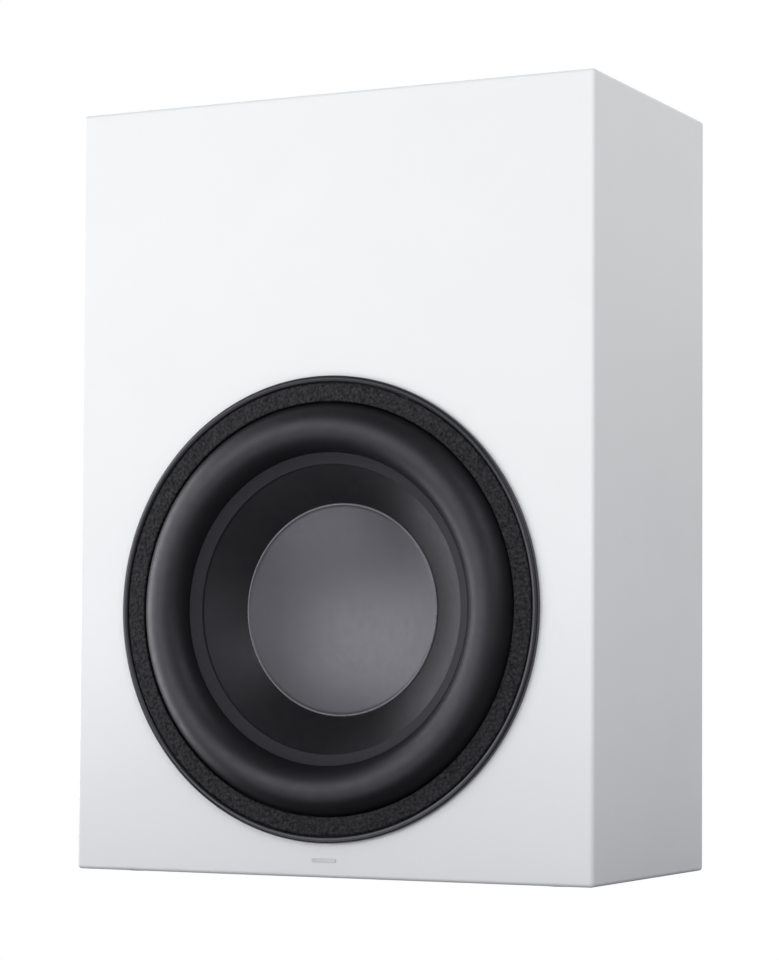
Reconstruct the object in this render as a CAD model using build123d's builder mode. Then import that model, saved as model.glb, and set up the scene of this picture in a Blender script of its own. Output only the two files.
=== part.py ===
"""Closed-box powered subwoofer: a lacquered cabinet, a 12-inch long-throw driver and a rear plate amplifier.

Frame: +Z up, the driver faces -Y, +X is on the right of someone facing the driver. The origin is on the
floor under the middle of the cabinet. Everything is in millimetres. A depth is measured from the front of the
baffle into the cabinet, and a radius from the driver's axis.
"""

from build123d import *

import os
from math import cos, radians, sin, tan

# ------------------------------------------------------------------ driving sizes
# Cabinet
cabinet_width = 382.0
cabinet_depth = 200.0
cabinet_height = 520.0
panel_thickness = 18.0
sub_baffle_thickness = 7.0  # second layer glued behind the front board
edge_radius = 2.5
driver_height = 177.0  # driver's axis above the cabinet's underside
pad_radius = 14.0
pad_thickness = 3.0
pad_drop = 1.5  # how far a foot pad stands below the cabinet
pad_inset = 34.0  # from a pad's middle to the cabinet's faces
pad_chamfer = 0.6
brace_thickness = 12.0
brace_gap = 4.0  # above the driver's frame
brace_web = 26.0  # solid left between and around the brace's windows
brace_corner = 12.0
felt_thickness = 6.0
badge_length = 18.0
badge_height = 2.6
badge_thickness = 0.8
badge_sink = 0.4  # how deep the badge is let into the baffle
badge_gap = 0.05  # round the badge in its recess

# Front rings
trim_radius = 154.3
trim_width = 4.4
trim_proud = 4.0
trim_round = 1.1
trim_overlap = 1.2  # how far the trim ring covers the baffle beyond the rebate
ring_groove = 0.5  # gap between the trim ring and the foam ring
foam_width = 12.2
foam_proud = 3.4
foam_round = 0.8

# Driver frame and its seat in the baffle
flange_thickness = 6.0
flange_clearance = 0.6
gasket_thickness = 2.0
ledge_width = 11.1
basket_clearance = 1.0
basket_wall = 4.4
screw_count = 8
screw_radius = 2.5
screw_head_radius = 3.8
screw_head_height = 2.9
screw_length = 22.0
insert_radius = 3.2
insert_length = 11.0
insert_flange_radius = 5.0
insert_flange_thickness = 1.4

# Moving parts of the driver
rubber_thickness = 1.4
surround_lip = 5.0  # width of the surround's outer lip, glued to the frame
surround_lip_depth = 1.6  # front of that lip
lip_clearance = 0.2  # between that lip's edge and the frame
roll_width = 0.2165 * trim_radius
roll_height = 0.0914 * trim_radius
cone_lip = 7.8  # width of the surround's inner lip, glued to the cone
cone_rim_depth = 1.3
cone_reach = 0.2  # how far the cone's rim runs under the roll
cone_angle = 33.6  # between the cone's wall and the baffle
cone_thickness = 1.2
cap_radius = 0.462 * trim_radius
cap_depth = 11.0
cap_thickness = 0.8
cap_bead = 1.1  # height of the bead round the cap's edge
former_radius = 38.0
former_wall = 0.4
coil_thickness = 1.0
coil_height = 26.0
cone_travel = 12.0  # each way from rest
spider_thickness = 0.6
spider_radius = 84.0
spider_wave_height = 2.4
spider_waves = 8
spider_drop = 20.0  # from the cone's neck to the spider

# Frame
spider_shelf = 12.0  # width of the shelf that the spider's rim is glued to
neck_wall = 4.0
neck_floor = 4.0  # the frame's rear wall, which is screwed to the top plate
arm_foot = 7.0  # from the flange to the start of the arms' slope
arm_step = 5.0  # where the arms meet the neck, outside and in front of the spider's shelf
window_count = 6
window_angle = 46.0
window_margin = 9.0  # from the flange and the spider's shelf to the windows
vent_angle = 26.0
vent_margin = 8.0  # from the spider's shelf to the vents in the neck
motor_screw_count = 6

# Terminals and the wires outside the amplifier
terminal_width = 40.0
terminal_thickness = 5.0
terminal_depth = 15.0
terminal_step = 3.0  # from the arm's end to the block
lead_spread = 17.0  # from the top arm's middle to a tinsel lead
lead_radius = 1.2
lead_arch = 20.0  # how high the speaker leads rise above their terminals
tinsel_radius = 0.9

# Magnet system
plate_gap = 10.0  # left in front of the top plate with the cone fully in
top_plate_thickness = 8.0
magnet_radius = 80.0
magnet_thickness = 18.0
magnet_count = 2
yoke_thickness = 10.0
vent_radius = 12.0
vent_flare = 7.0
pole_clearance = 1.0  # inside the former
coil_clearance = 0.6  # outside the coil
shorting_ring_height = 10.0

# Amplifier plate
amp_width = 250.0
amp_height = 168.0
amp_thickness = 3.0
amp_top_margin = 30.0  # from the cabinet's top to the plate
amp_corner = 6.0
amp_gasket_thickness = 1.5
amp_clearance = 0.4
amp_ledge = 14.0  # width of the rear panel's rebate under the plate
chassis_clearance = 4.0
chassis_depth = 76.0
chassis_wall = 1.2
amp_screw_radius = 1.9
amp_screw_head = 3.8

# Running clearances
hair = 0.05  # between a shaft and its bore, or a screw and its hole
slip = 0.3  # between a sliding or tilting piece and its guide

# ------------------------------------------------------------------ places worked out from them
front_y = -cabinet_depth / 2
rear_y = cabinet_depth / 2
base_z = pad_drop
top_z = base_z + cabinet_height
middle_z = base_z + cabinet_height / 2
driver_z = base_z + driver_height
baffle_thickness = panel_thickness + sub_baffle_thickness
inner_front_y = front_y + baffle_thickness
inner_rear_y = rear_y - panel_thickness
inner_half_width = cabinet_width / 2 - panel_thickness

trim_inner_radius = trim_radius - trim_width
foam_radius = trim_inner_radius - ring_groove
foam_inner_radius = foam_radius - foam_width
rebate_radius = trim_radius - trim_overlap
rebate_depth = flange_thickness + gasket_thickness
flange_radius = rebate_radius - flange_clearance
cutout_radius = rebate_radius - ledge_width
basket_radius = cutout_radius - basket_clearance
screw_circle = (cutout_radius + flange_radius) / 2
screw_hole = screw_radius + slip
seat_depth = surround_lip_depth + rubber_thickness
lip_radius = foam_inner_radius + surround_lip
seat_radius = lip_radius + lip_clearance

roll_outer = foam_inner_radius
roll_inner = roll_outer - roll_width
cone_radius = roll_inner + cone_reach
cone_slope = tan(radians(cone_angle))


def cone_front(radius):
    """Depth of the cone's front face at a radius."""
    return cone_rim_depth + (cone_radius - radius) * cone_slope


def along_depth(thickness):
    """A wall thickness on the cone, measured along the driver's axis."""
    return thickness / cos(radians(cone_angle))


neck_depth = cone_front(former_radius)
spider_depth = neck_depth + spider_drop
top_plate_front = spider_depth + cone_travel + plate_gap
magnet_front = top_plate_front + top_plate_thickness
yoke_front = magnet_front + magnet_count * magnet_thickness
yoke_back = yoke_front + yoke_thickness

coil_radius = former_radius + coil_thickness
coil_front = top_plate_front + (top_plate_thickness - coil_height) / 2
pole_radius = former_radius - former_wall - pole_clearance
gap_radius = coil_radius + coil_clearance
neck_radius = spider_radius + neck_wall
shelf_radius = spider_radius - spider_shelf

# The frame's arms run from behind its flange to its neck
arm_front = (basket_radius, flange_thickness + arm_foot)
arm_back = (neck_radius + arm_step, spider_depth - arm_step)


def arm_radius(depth):
    """Outer radius of the frame's arms at a depth."""
    share = (depth - arm_front[1]) / (arm_back[1] - arm_front[1])
    return arm_front[0] + share * (arm_back[0] - arm_front[0])


# Terminals are riveted on the outside of the frame's top arm
terminal_back = arm_back[1] - terminal_step
terminal_front = terminal_back - terminal_depth
terminal_outer = arm_radius(terminal_front) + terminal_thickness
terminal_top_z = driver_z + terminal_outer
brace_z = max(driver_z + basket_radius, terminal_top_z + lead_arch) + brace_gap

amp_z = top_z - amp_top_margin - amp_height / 2
amp_rebate = amp_thickness + amp_gasket_thickness
amp_cutout_width = amp_width - 2 * amp_ledge
amp_cutout_height = amp_height - 2 * amp_ledge
chassis_width = amp_cutout_width - 2 * chassis_clearance
chassis_height = amp_cutout_height - 2 * chassis_clearance

# Planes: the section that turned parts are drawn on, the baffle, and the rear seen from behind (x runs to -X)
driver_section = Plane((0, front_y, driver_z), x_dir=(0, 0, 1), z_dir=(-1, 0, 0))
driver_axis = Axis((0, front_y, driver_z), (0, 1, 0))
baffle = Plane((0, front_y, driver_z), x_dir=(1, 0, 0), z_dir=(0, -1, 0))
rear = Plane((0, rear_y, amp_z), x_dir=(-1, 0, 0), z_dir=(0, 1, 0))


def section_at(angle):
    """The driver's section, turned about its axis."""
    turn = radians(angle)
    return Plane(driver_section.origin, x_dir=(sin(turn), 0, cos(turn)), z_dir=(-cos(turn), 0, sin(turn)))


def band(inner, outer, front, back):
    """A rectangle on the driver's section, between two radii and two depths."""
    with Locations(((inner + outer) / 2, (front + back) / 2)):
        Rectangle(outer - inner, back - front)


def block(place, width, height, front, back, mode=Mode.ADD):
    """A box behind the rear face, at a place on the amplifier plate and between two depths."""
    with Locations(rear.offset(-back)):
        with Locations((place[0], place[1], 0)):
            Box(width, height, back - front, align=(Align.CENTER, Align.CENTER, Align.MIN), mode=mode)


def post(place, radius, front, back, mode=Mode.ADD):
    """A round post behind the rear face, at a place on the amplifier plate and between two depths."""
    with Locations(rear.offset(-back)):
        with Locations((place[0], place[1], 0)):
            Cylinder(radius, back - front, align=(Align.CENTER, Align.CENTER, Align.MIN), mode=mode)


# ------------------------------------------------------------------ places on the plate, seen from behind
heatsink_place = (-66.0, 0.0)
heatsink_width = 92.0
heatsink_height = 140.0
heatsink_base = 3.0
fin_height = 8.0
fin_thickness = 1.6
fin_count = 14
fin_tip = -heatsink_base - fin_height
knob_x = 20.0
gain_place = (knob_x, 52.0)
crossover_place = (knob_x, 20.0)
phase_place = (knob_x, -12.0)
knob_places = (gain_place, crossover_place, phase_place)
knob_radius = 9.0
knob_proud = 12.5
stem_radius = 3.0
bush_radius = 3.6
pot_width = 17.0
pot_height = 15.0
socket_places = ((58.0, 52.0), (82.0, 52.0), (58.0, 28.0), (82.0, 28.0))
socket_radius = 4.15
socket_proud = 9.0
socket_wall = 0.5
socket_rim = 1.2
socket_rim_radius = 5.75
socket_bore_radius = 1.6
insulator_front = 1.5 - socket_proud
slider_place = (58.0, 0.0)
led_place = (82.0, 0.0)
inlet_place = (42.0, -44.0)
rocker_place = (88.0, -44.0)
screw_margin = 6.0

amp_screw_x = amp_width / 2 - screw_margin
amp_screw_y = amp_height / 2 - screw_margin
amp_screw_places = []
for side in (-1, 1):
    for step in (-1, 0, 1):
        amp_screw_places.append((side * amp_screw_x, step * amp_screw_y))
    amp_screw_places.append((0, side * amp_screw_y))

inlet_width = 27.0
inlet_height = 31.0
inlet_depth = 30.0
inlet_flange = 2.0
inlet_rim = 2.5
cavity_place = (inlet_place[0], inlet_place[1] + 5.5)
cavity_width = 24.4
cavity_height = 16.4
cavity_floor = 18.0
drawer_place = (inlet_place[0], inlet_place[1] - 9.2)
drawer_width = 21.4
drawer_height = 7.6
drawer_depth = 23.0
drawer_proud = 3.4
fuse_radius = 2.5
fuse_length = 20.0

rocker_width = 9.4
rocker_length = 14.2
rocker_proud = 2.4
rocker_pivot = 4.0
rocker_throw = 9.0
rocker_pocket = 17.2
rocker_tab = 24.0  # where the switch's tabs end, below the rear face
rocker_frame_width = 14.0
rocker_frame_height = 20.0
rocker_frame_depth = 16.0
rocker_bezel = 1.6
tab_offset = 5.0  # from the switch's middle to each tab
trunnion_radius = 1.2
trunnion_reach = 1.4

slider_width = 4.0
slider_height = 4.0
slider_proud = 3.0
slider_throw = 3.5
slot_width = slider_width + 2 * slider_throw + 2 * slip

slider_end = 6.6
stem_end = 9.0
knob_gap = 0.6
knob_skirt = 3.0
flute_count = 20
flute_radius = 0.8
pointer_width = 1.2
pointer_depth = 0.8

led_radius = 1.5
board_thickness = 1.6
control_board_depth = 14.0
main_board_depth = 24.0
main_board_place = (-48.0, 0.0)
main_board_width = 112.0
main_board_height = 120.0
control_board_place = (53.0, 20.0)
control_board_width = 92.0
control_board_height = 88.0
chassis_floor = amp_thickness + chassis_depth
main_board_back = main_board_depth + board_thickness
amp_screw_end = panel_thickness - 2
standoff_radius = 2.5
toroid_place = (52.0, 16.0)
toroid_radius = 40.0
toroid_bore = 14.0
toroid_thickness = 32.0
toroid_round = 7.0
toroid_bolt_radius = 3.0
toroid_nut_radius = 5.4
toroid_front = chassis_floor - chassis_wall - toroid_thickness
toroid_washer_front = toroid_front - 1.5
toroid_nut_front = toroid_washer_front - 4
lead_slot_place = (-20.0, -chassis_height / 2)
lead_slot_depth = 50.0
lead_gap = 10.0

# ------------------------------------------------------------------ cabinet
with BuildPart() as envelope:
    with Locations((0, 0, middle_z)):
        Box(cabinet_width, cabinet_depth, cabinet_height)
    fillet(envelope.edges(), edge_radius)


def mitred_board(outer_face, width, height):
    """A board with its outer face on a plane that looks into the cabinet, mitred at 45 degrees all round."""
    with BuildPart() as board:
        with BuildSketch(outer_face):
            Rectangle(width, height)
        with BuildSketch(outer_face.offset(panel_thickness)):
            Rectangle(width - 2 * panel_thickness, height - 2 * panel_thickness)
        loft(ruled=True)
        add(envelope.part, mode=Mode.INTERSECT)
    return board.part


front_face = Plane((0, front_y, middle_z), x_dir=(1, 0, 0), z_dir=(0, 1, 0))
rear_face = Plane((0, rear_y, middle_z), x_dir=(1, 0, 0), z_dir=(0, -1, 0))
left_face = Plane((-cabinet_width / 2, 0, middle_z), x_dir=(0, 1, 0), z_dir=(1, 0, 0))
right_face = Plane((cabinet_width / 2, 0, middle_z), x_dir=(0, 1, 0), z_dir=(-1, 0, 0))
top_face = Plane((0, 0, top_z), x_dir=(1, 0, 0), z_dir=(0, 0, -1))
bottom_face = Plane((0, 0, base_z), x_dir=(1, 0, 0), z_dir=(0, 0, 1))
badge_z = base_z + (driver_height - trim_radius) / 2
badge_place = Plane((0, front_y, badge_z), x_dir=(1, 0, 0), z_dir=(0, -1, 0))
pad_span_x = cabinet_width - 2 * pad_inset
pad_span_y = cabinet_depth - 2 * pad_inset

with BuildPart() as front_baffle:
    add(mitred_board(front_face, cabinet_width, cabinet_height))
    with BuildSketch(front_face.offset(panel_thickness)):
        Rectangle(cabinet_width - 2 * panel_thickness, cabinet_height - 2 * panel_thickness)
    extrude(amount=sub_baffle_thickness)
    with Locations(baffle):
        CounterBoreHole(cutout_radius, rebate_radius, rebate_depth)
    with Locations(baffle):
        with PolarLocations(screw_circle, screw_count, start_angle=180 / screw_count):
            Hole(insert_radius)
    with BuildSketch(badge_place):
        SlotOverall(badge_length, badge_height)
    extrude(amount=-badge_sink, mode=Mode.SUBTRACT)

with BuildPart() as rear_panel:
    add(mitred_board(rear_face, cabinet_width, cabinet_height))
    with BuildSketch(rear):
        RectangleRounded(amp_width + 2 * amp_clearance, amp_height + 2 * amp_clearance, amp_corner)
    extrude(amount=-amp_rebate, mode=Mode.SUBTRACT)
    with BuildSketch(rear):
        RectangleRounded(amp_cutout_width, amp_cutout_height, amp_corner)
    extrude(amount=-panel_thickness, mode=Mode.SUBTRACT)
    for place in amp_screw_places:
        post(place, amp_screw_radius, 0, amp_screw_end, Mode.SUBTRACT)

with BuildPart() as left_panel:
    add(mitred_board(left_face, cabinet_depth, cabinet_height))

with BuildPart() as right_panel:
    add(mitred_board(right_face, cabinet_depth, cabinet_height))

with BuildPart() as top_panel:
    add(mitred_board(top_face, cabinet_width, cabinet_depth))

with BuildPart() as bottom_panel:
    add(mitred_board(bottom_face, cabinet_width, cabinet_depth))
    with BuildSketch(bottom_face):
        with GridLocations(pad_span_x, pad_span_y, 2, 2):
            Circle(pad_radius + slip)
    extrude(amount=pad_thickness - pad_drop, mode=Mode.SUBTRACT)

with BuildPart() as foot_pads:
    with BuildSketch(Plane.XY):
        with GridLocations(pad_span_x, pad_span_y, 2, 2):
            Circle(pad_radius)
    extrude(amount=pad_thickness)
    chamfer(foot_pads.faces().sort_by(Axis.Z)[:4].edges(), pad_chamfer)

with BuildPart() as badge:
    with BuildSketch(badge_place.offset(-badge_sink)):
        SlotOverall(badge_length - 2 * badge_gap, badge_height - 2 * badge_gap)
    extrude(amount=badge_thickness)

# A horizontal shelf with three windows, between the driver and the amplifier
brace_depth = inner_rear_y - inner_front_y
brace_middle_y = (inner_rear_y + inner_front_y) / 2
brace_window_depth = brace_depth - 2 * brace_web
brace_middle_window = inner_half_width - brace_web
brace_side_window = (2 * inner_half_width - brace_middle_window - 4 * brace_web) / 2
brace_side_x = inner_half_width - brace_web - brace_side_window / 2

with BuildPart() as shelf_brace:
    with BuildSketch(Plane((0, brace_middle_y, brace_z))):
        Rectangle(2 * inner_half_width, brace_depth)
        RectangleRounded(brace_middle_window, brace_window_depth, brace_corner, mode=Mode.SUBTRACT)
        with GridLocations(2 * brace_side_x, 0, 2, 1):
            RectangleRounded(brace_side_window, brace_window_depth, brace_corner, mode=Mode.SUBTRACT)
    extrude(amount=brace_thickness)

# Felt on both side walls beside the driver, and a fleece block in front of the amplifier
felt_margin = 22.0
felt_bottom = base_z + panel_thickness + felt_margin
felt_height = brace_z - felt_margin - felt_bottom
felt_depth = brace_depth - 2 * felt_margin

with BuildPart() as damping_felt:
    with BuildSketch(Plane((0, brace_middle_y, felt_bottom))):
        with GridLocations(2 * inner_half_width - felt_thickness, 0, 2, 1):
            Rectangle(felt_thickness, felt_depth)
    extrude(amount=felt_height)

wadding_gap = 8.0
wadding_round = 16.0
wadding_bottom = brace_z + brace_thickness + wadding_gap
wadding_height = top_z - panel_thickness - wadding_gap - wadding_bottom
wadding_front_y = inner_front_y + wadding_gap
wadding_rear_y = rear_y - amp_thickness - chassis_depth - wadding_gap

with BuildPart() as polyester_wadding:
    with Locations((0, (wadding_front_y + wadding_rear_y) / 2, wadding_bottom + wadding_height / 2)):
        Box(2 * (inner_half_width - wadding_gap), wadding_rear_y - wadding_front_y, wadding_height)
    fillet(polyester_wadding.edges(), wadding_round)

# ------------------------------------------------------------------ driver: frame, seals and fixings
motor_screw_circle = (gap_radius + spider_radius) / 2
window_front = flange_thickness + window_margin
neck_bore = gap_radius + 2.4
neck_floor_front = top_plate_front - neck_floor
inner_wall_radius = basket_radius - basket_wall
shelf_back = spider_depth + neck_wall
spider_seat_radius = spider_radius + 1

with BuildPart() as basket:
    with BuildSketch(driver_section):
        with BuildLine():
            Polyline(
                (flange_radius, 0),
                (flange_radius, flange_thickness),
                (basket_radius, flange_thickness),
                arm_front,
                arm_back,
                (neck_radius, spider_depth + arm_step),
                (neck_radius, top_plate_front),
                (neck_bore, top_plate_front),
                (neck_bore, neck_floor_front),
                (spider_radius, neck_floor_front),
                (spider_radius, shelf_back),
                (shelf_radius, shelf_back),
                (shelf_radius, spider_depth),
                (spider_seat_radius, spider_depth),
                (spider_seat_radius, spider_depth - neck_wall),
                (inner_wall_radius, flange_thickness + arm_foot - 2),
                (inner_wall_radius, seat_depth),
                (seat_radius, seat_depth),
                (seat_radius, 0),
                close=True,
            )
        make_face()
    revolve(axis=driver_axis)
    for number in range(window_count):
        middle = 360 / window_count * (number + 0.5)
        with BuildSketch(section_at(middle - window_angle / 2)):
            band(spider_seat_radius, basket_radius + 5, window_front, spider_depth - window_margin)
        revolve(axis=driver_axis, revolution_arc=window_angle, mode=Mode.SUBTRACT)
        with BuildSketch(section_at(middle - vent_angle / 2)):
            band(spider_radius - 2, neck_radius + arm_step, spider_depth + vent_margin, neck_floor_front - 2)
        revolve(axis=driver_axis, revolution_arc=vent_angle, mode=Mode.SUBTRACT)
    with Locations(baffle):
        with PolarLocations(screw_circle, screw_count, start_angle=180 / screw_count):
            CounterBoreHole(screw_hole, screw_head_radius + slip, screw_head_height, flange_thickness + 2)
    with Locations(baffle.offset(-top_plate_front)):
        with PolarLocations(motor_screw_circle, motor_screw_count):
            Hole(screw_hole, 2 * neck_floor)

with BuildPart() as driver_gasket:
    with BuildSketch(baffle.offset(-flange_thickness)):
        Circle(flange_radius)
        Circle(cutout_radius, mode=Mode.SUBTRACT)
        with PolarLocations(screw_circle, screw_count, start_angle=180 / screw_count):
            Circle(screw_hole, mode=Mode.SUBTRACT)
    extrude(amount=-gasket_thickness)

with BuildPart() as driver_screws:
    with BuildSketch(baffle):
        with PolarLocations(screw_circle, screw_count, start_angle=180 / screw_count):
            Circle(screw_head_radius)
    extrude(amount=-screw_head_height)
    with BuildSketch(baffle.offset(-screw_head_height)):
        with PolarLocations(screw_circle, screw_count, start_angle=180 / screw_count):
            Circle(screw_radius)
    extrude(amount=-screw_length)
    with BuildSketch(baffle):
        with PolarLocations(screw_circle, screw_count, start_angle=180 / screw_count):
            RegularPolygon(screw_radius, 6)
    extrude(amount=-screw_head_height / 2, mode=Mode.SUBTRACT)

with BuildPart() as flanged_inserts:
    with BuildSketch(baffle.offset(-baffle_thickness)):
        with PolarLocations(screw_circle, screw_count, start_angle=180 / screw_count):
            Circle(insert_radius)
    extrude(amount=insert_length)
    with BuildSketch(baffle.offset(-baffle_thickness)):
        with PolarLocations(screw_circle, screw_count, start_angle=180 / screw_count):
            Circle(insert_flange_radius)
    extrude(amount=-insert_flange_thickness)
    with BuildSketch(baffle.offset(insert_length - baffle_thickness)):
        with PolarLocations(screw_circle, screw_count, start_angle=180 / screw_count):
            Circle(screw_radius + hair)
    extrude(amount=-insert_length - insert_flange_thickness, mode=Mode.SUBTRACT)

with BuildPart() as trim_ring:
    with BuildSketch(driver_section):
        band(trim_inner_radius, trim_radius, -trim_proud, 0)
    revolve(axis=driver_axis)
    fillet(trim_ring.faces().sort_by(Axis.Y)[0].edges(), trim_round)

with BuildPart() as foam_ring:
    with BuildSketch(driver_section):
        band(foam_inner_radius, foam_radius, -foam_proud, 0)
    revolve(axis=driver_axis)
    fillet(foam_ring.faces().sort_by(Axis.Y)[0].edges(), foam_round)

# ------------------------------------------------------------------ driver: moving parts and suspension
cone_back = along_depth(cone_thickness)
lip_front = along_depth(rubber_thickness)
roll_middle = (roll_outer + roll_inner) / 2
roll_top = surround_lip_depth - roll_height
roll_foot = cone_radius + 0.6  # where the back of the roll meets the cone's face
lip_inner = roll_inner - cone_lip

with BuildPart() as cone:
    with BuildSketch(driver_section):
        with BuildLine():
            Polyline(
                (cone_radius, cone_front(cone_radius)),
                (former_radius, neck_depth),
                (former_radius, neck_depth + cone_back),
                (cone_radius, cone_front(cone_radius) + cone_back),
                close=True,
            )
        make_face()
    revolve(axis=driver_axis)

with BuildPart() as surround:
    with BuildSketch(driver_section):
        with BuildLine():
            Line((lip_radius, surround_lip_depth), (roll_outer, surround_lip_depth))
            ThreePointArc(
                (roll_outer, surround_lip_depth),
                (roll_middle, roll_top),
                (roll_inner, cone_front(roll_inner) - lip_front),
            )
            Polyline(
                (roll_inner, cone_front(roll_inner) - lip_front),
                (lip_inner, cone_front(lip_inner) - lip_front),
                (lip_inner, cone_front(lip_inner)),
                (cone_radius, cone_front(cone_radius)),
                (roll_foot, cone_front(cone_radius)),
            )
            ThreePointArc(
                (roll_foot, cone_front(cone_radius)),
                (roll_middle, roll_top + rubber_thickness),
                (roll_outer - rubber_thickness, seat_depth),
            )
            Polyline(
                (roll_outer - rubber_thickness, seat_depth),
                (lip_radius, seat_depth),
                (lip_radius, surround_lip_depth),
            )
        make_face()
    revolve(axis=driver_axis)

cap_edge = cone_front(cap_radius)
cap_rim = cap_radius - 2 * cap_bead  # where the hollow starts inside the bead
cap_curve = (cap_rim**2 + cap_depth**2) / (2 * cap_depth)  # radius of the hollow
cap_centre = cap_edge + cap_depth - cap_curve
cap_back_curve = cap_curve + cap_thickness


def on_curve(curve, radius):
    """Depth on one of the cap's two spheres at a radius from the axis."""
    return cap_centre + (curve**2 - radius**2) ** 0.5


with BuildPart() as dust_cap:
    with BuildSketch(driver_section):
        with BuildLine():
            ThreePointArc(
                (cap_radius, cap_edge),
                (cap_radius - cap_bead, cap_edge - cap_bead),
                (cap_rim, cap_edge),
            )
            ThreePointArc(
                (cap_rim, cap_edge),
                (cap_rim / 2, on_curve(cap_curve, cap_rim / 2)),
                (0, on_curve(cap_curve, 0)),
            )
            Line((0, on_curve(cap_curve, 0)), (0, on_curve(cap_back_curve, 0)))
            ThreePointArc(
                (0, on_curve(cap_back_curve, 0)),
                (cap_rim / 2, on_curve(cap_back_curve, cap_rim / 2)),
                (cap_rim, on_curve(cap_back_curve, cap_rim)),
            )
            Polyline(
                (cap_rim, on_curve(cap_back_curve, cap_rim)),
                (cap_rim + 0.2, cone_front(cap_rim + 0.2)),
                (cap_radius, cap_edge),
            )
        make_face()
    revolve(axis=driver_axis)

former_front = neck_depth - 3  # the former stands up a little inside the cone's neck
coil_back = coil_front + coil_height
former_back = coil_back + 2

with BuildPart() as voice_coil_former:
    with BuildSketch(driver_section):
        band(former_radius - former_wall, former_radius, former_front, former_back)
    revolve(axis=driver_axis)

with BuildPart() as voice_coil:
    with BuildSketch(driver_section):
        band(former_radius, coil_radius, coil_front, coil_back)
    revolve(axis=driver_axis)

# The spider is a corrugated disc: a collar on the former, half waves in turn, and a rim on the frame's shelf
wave_inner = former_radius + 2.5
wave_outer = shelf_radius - 1.5
wave_length = (wave_outer - wave_inner) / spider_waves
rim_front = spider_depth - spider_thickness


def spider_line(depth):
    """One face of the spider from the collar to the rim, drawn into the open line builder."""
    Line((former_radius, depth), (wave_inner, depth))
    for wave in range(spider_waves):
        start = wave_inner + wave * wave_length
        rise = spider_wave_height / 2 * (-1) ** wave
        ThreePointArc((start, depth), (start + wave_length / 2, depth + rise), (start + wave_length, depth))
    Line((wave_outer, depth), (spider_radius, depth))


with BuildPart() as spider:
    with BuildSketch(driver_section):
        with BuildLine():
            spider_line(rim_front)
            Line((spider_radius, rim_front), (spider_radius, spider_depth))
            spider_line(spider_depth)
            Line((former_radius, spider_depth), (former_radius, rim_front))
        make_face()
    revolve(axis=driver_axis)

# ------------------------------------------------------------------ driver: magnet system
plate_radius = magnet_radius - 2
magnet_bore = coil_radius + 11
boot_wall = 2.0
boot_lip = 14.0  # how far the boot reaches over the yoke's back
boot_radius = magnet_radius + boot_wall

with BuildPart() as top_plate:
    with BuildSketch(driver_section):
        band(gap_radius, plate_radius, top_plate_front, magnet_front)
    revolve(axis=driver_axis)
    with Locations(baffle.offset(-top_plate_front)):
        with PolarLocations(motor_screw_circle, motor_screw_count):
            Hole(screw_radius + hair, top_plate_thickness)

with BuildPart() as motor_screws:
    with BuildSketch(baffle.offset(neck_floor - top_plate_front)):
        with PolarLocations(motor_screw_circle, motor_screw_count):
            Circle(screw_head_radius)
    extrude(amount=screw_head_height)
    with BuildSketch(baffle.offset(neck_floor - top_plate_front)):
        with PolarLocations(motor_screw_circle, motor_screw_count):
            Circle(screw_radius)
    extrude(amount=-neck_floor - top_plate_thickness + 0.5)

with BuildPart() as magnets:
    for number in range(magnet_count):
        with BuildSketch(driver_section):
            front = magnet_front + number * magnet_thickness
            band(magnet_bore, magnet_radius, front + 0.05, front + magnet_thickness - 0.05)
        revolve(axis=driver_axis)

with BuildPart() as pole_yoke:
    with BuildSketch(driver_section):
        with BuildLine():
            Polyline(
                (vent_radius, top_plate_front),
                (pole_radius, top_plate_front),
                (pole_radius, yoke_front),
                (plate_radius, yoke_front),
                (plate_radius, yoke_back),
                (vent_radius + vent_flare, yoke_back),
                (vent_radius, yoke_back - vent_flare),
                close=True,
            )
        make_face()
    revolve(axis=driver_axis)

with BuildPart() as shorting_ring:
    with BuildSketch(driver_section):
        band(pole_radius, magnet_bore - 2, yoke_front - shorting_ring_height, yoke_front)
    revolve(axis=driver_axis)

with BuildPart() as magnet_boot:
    with BuildSketch(driver_section):
        band(magnet_radius + hair, boot_radius, magnet_front - 3, yoke_back + boot_wall)
        band(plate_radius - boot_lip, boot_radius, yoke_back + hair, yoke_back + boot_wall)
    revolve(axis=driver_axis)


with BuildPart() as terminal_block:
    with BuildSketch(driver_section):
        with BuildLine():
            Polyline(
                (arm_radius(terminal_front), terminal_front),
                (arm_radius(terminal_back), terminal_back),
                (terminal_outer, terminal_back),
                (terminal_outer, terminal_front),
                close=True,
            )
        make_face()
    extrude(amount=terminal_width / 2, both=True)

# The tinsel leads run from the block's front, through the windows beside the top arm, to the back of the cone
tinsel_start = terminal_outer - terminal_thickness / 2
tinsel_end_radius = former_radius + 12
tinsel_end_depth = cone_front(tinsel_end_radius) + cone_back


def corner_radii(points):
    """The largest arcs that the corners of a route take, each within 0.45 of its shorter run."""
    radii = []
    for before, corner, after in zip(points, points[1:], points[2:]):
        arriving = Vector(*corner) - Vector(*before)
        leaving = Vector(*after) - Vector(*corner)
        half_turn = radians(arriving.get_angle(leaving)) / 2
        radii.append(0.45 * min(arriving.length, leaving.length) / tan(half_turn))
    return radii


def on_driver(side, radius, depth):
    """A point behind the baffle: its distance from the middle, height above the driver's axis, and depth."""
    return (side, front_y + depth, driver_z + radius)


def wire(points, radius):
    """A round wire along a route of straight runs joined by tangent arcs."""
    with BuildPart() as run:
        with BuildLine() as path:
            FilletPolyline(*points, radius=corner_radii(points))
        with BuildSketch(Plane(origin=path.line @ 0, z_dir=path.line % 0)):
            Circle(radius)
        sweep(path=path.line)
    return run.part


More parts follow.
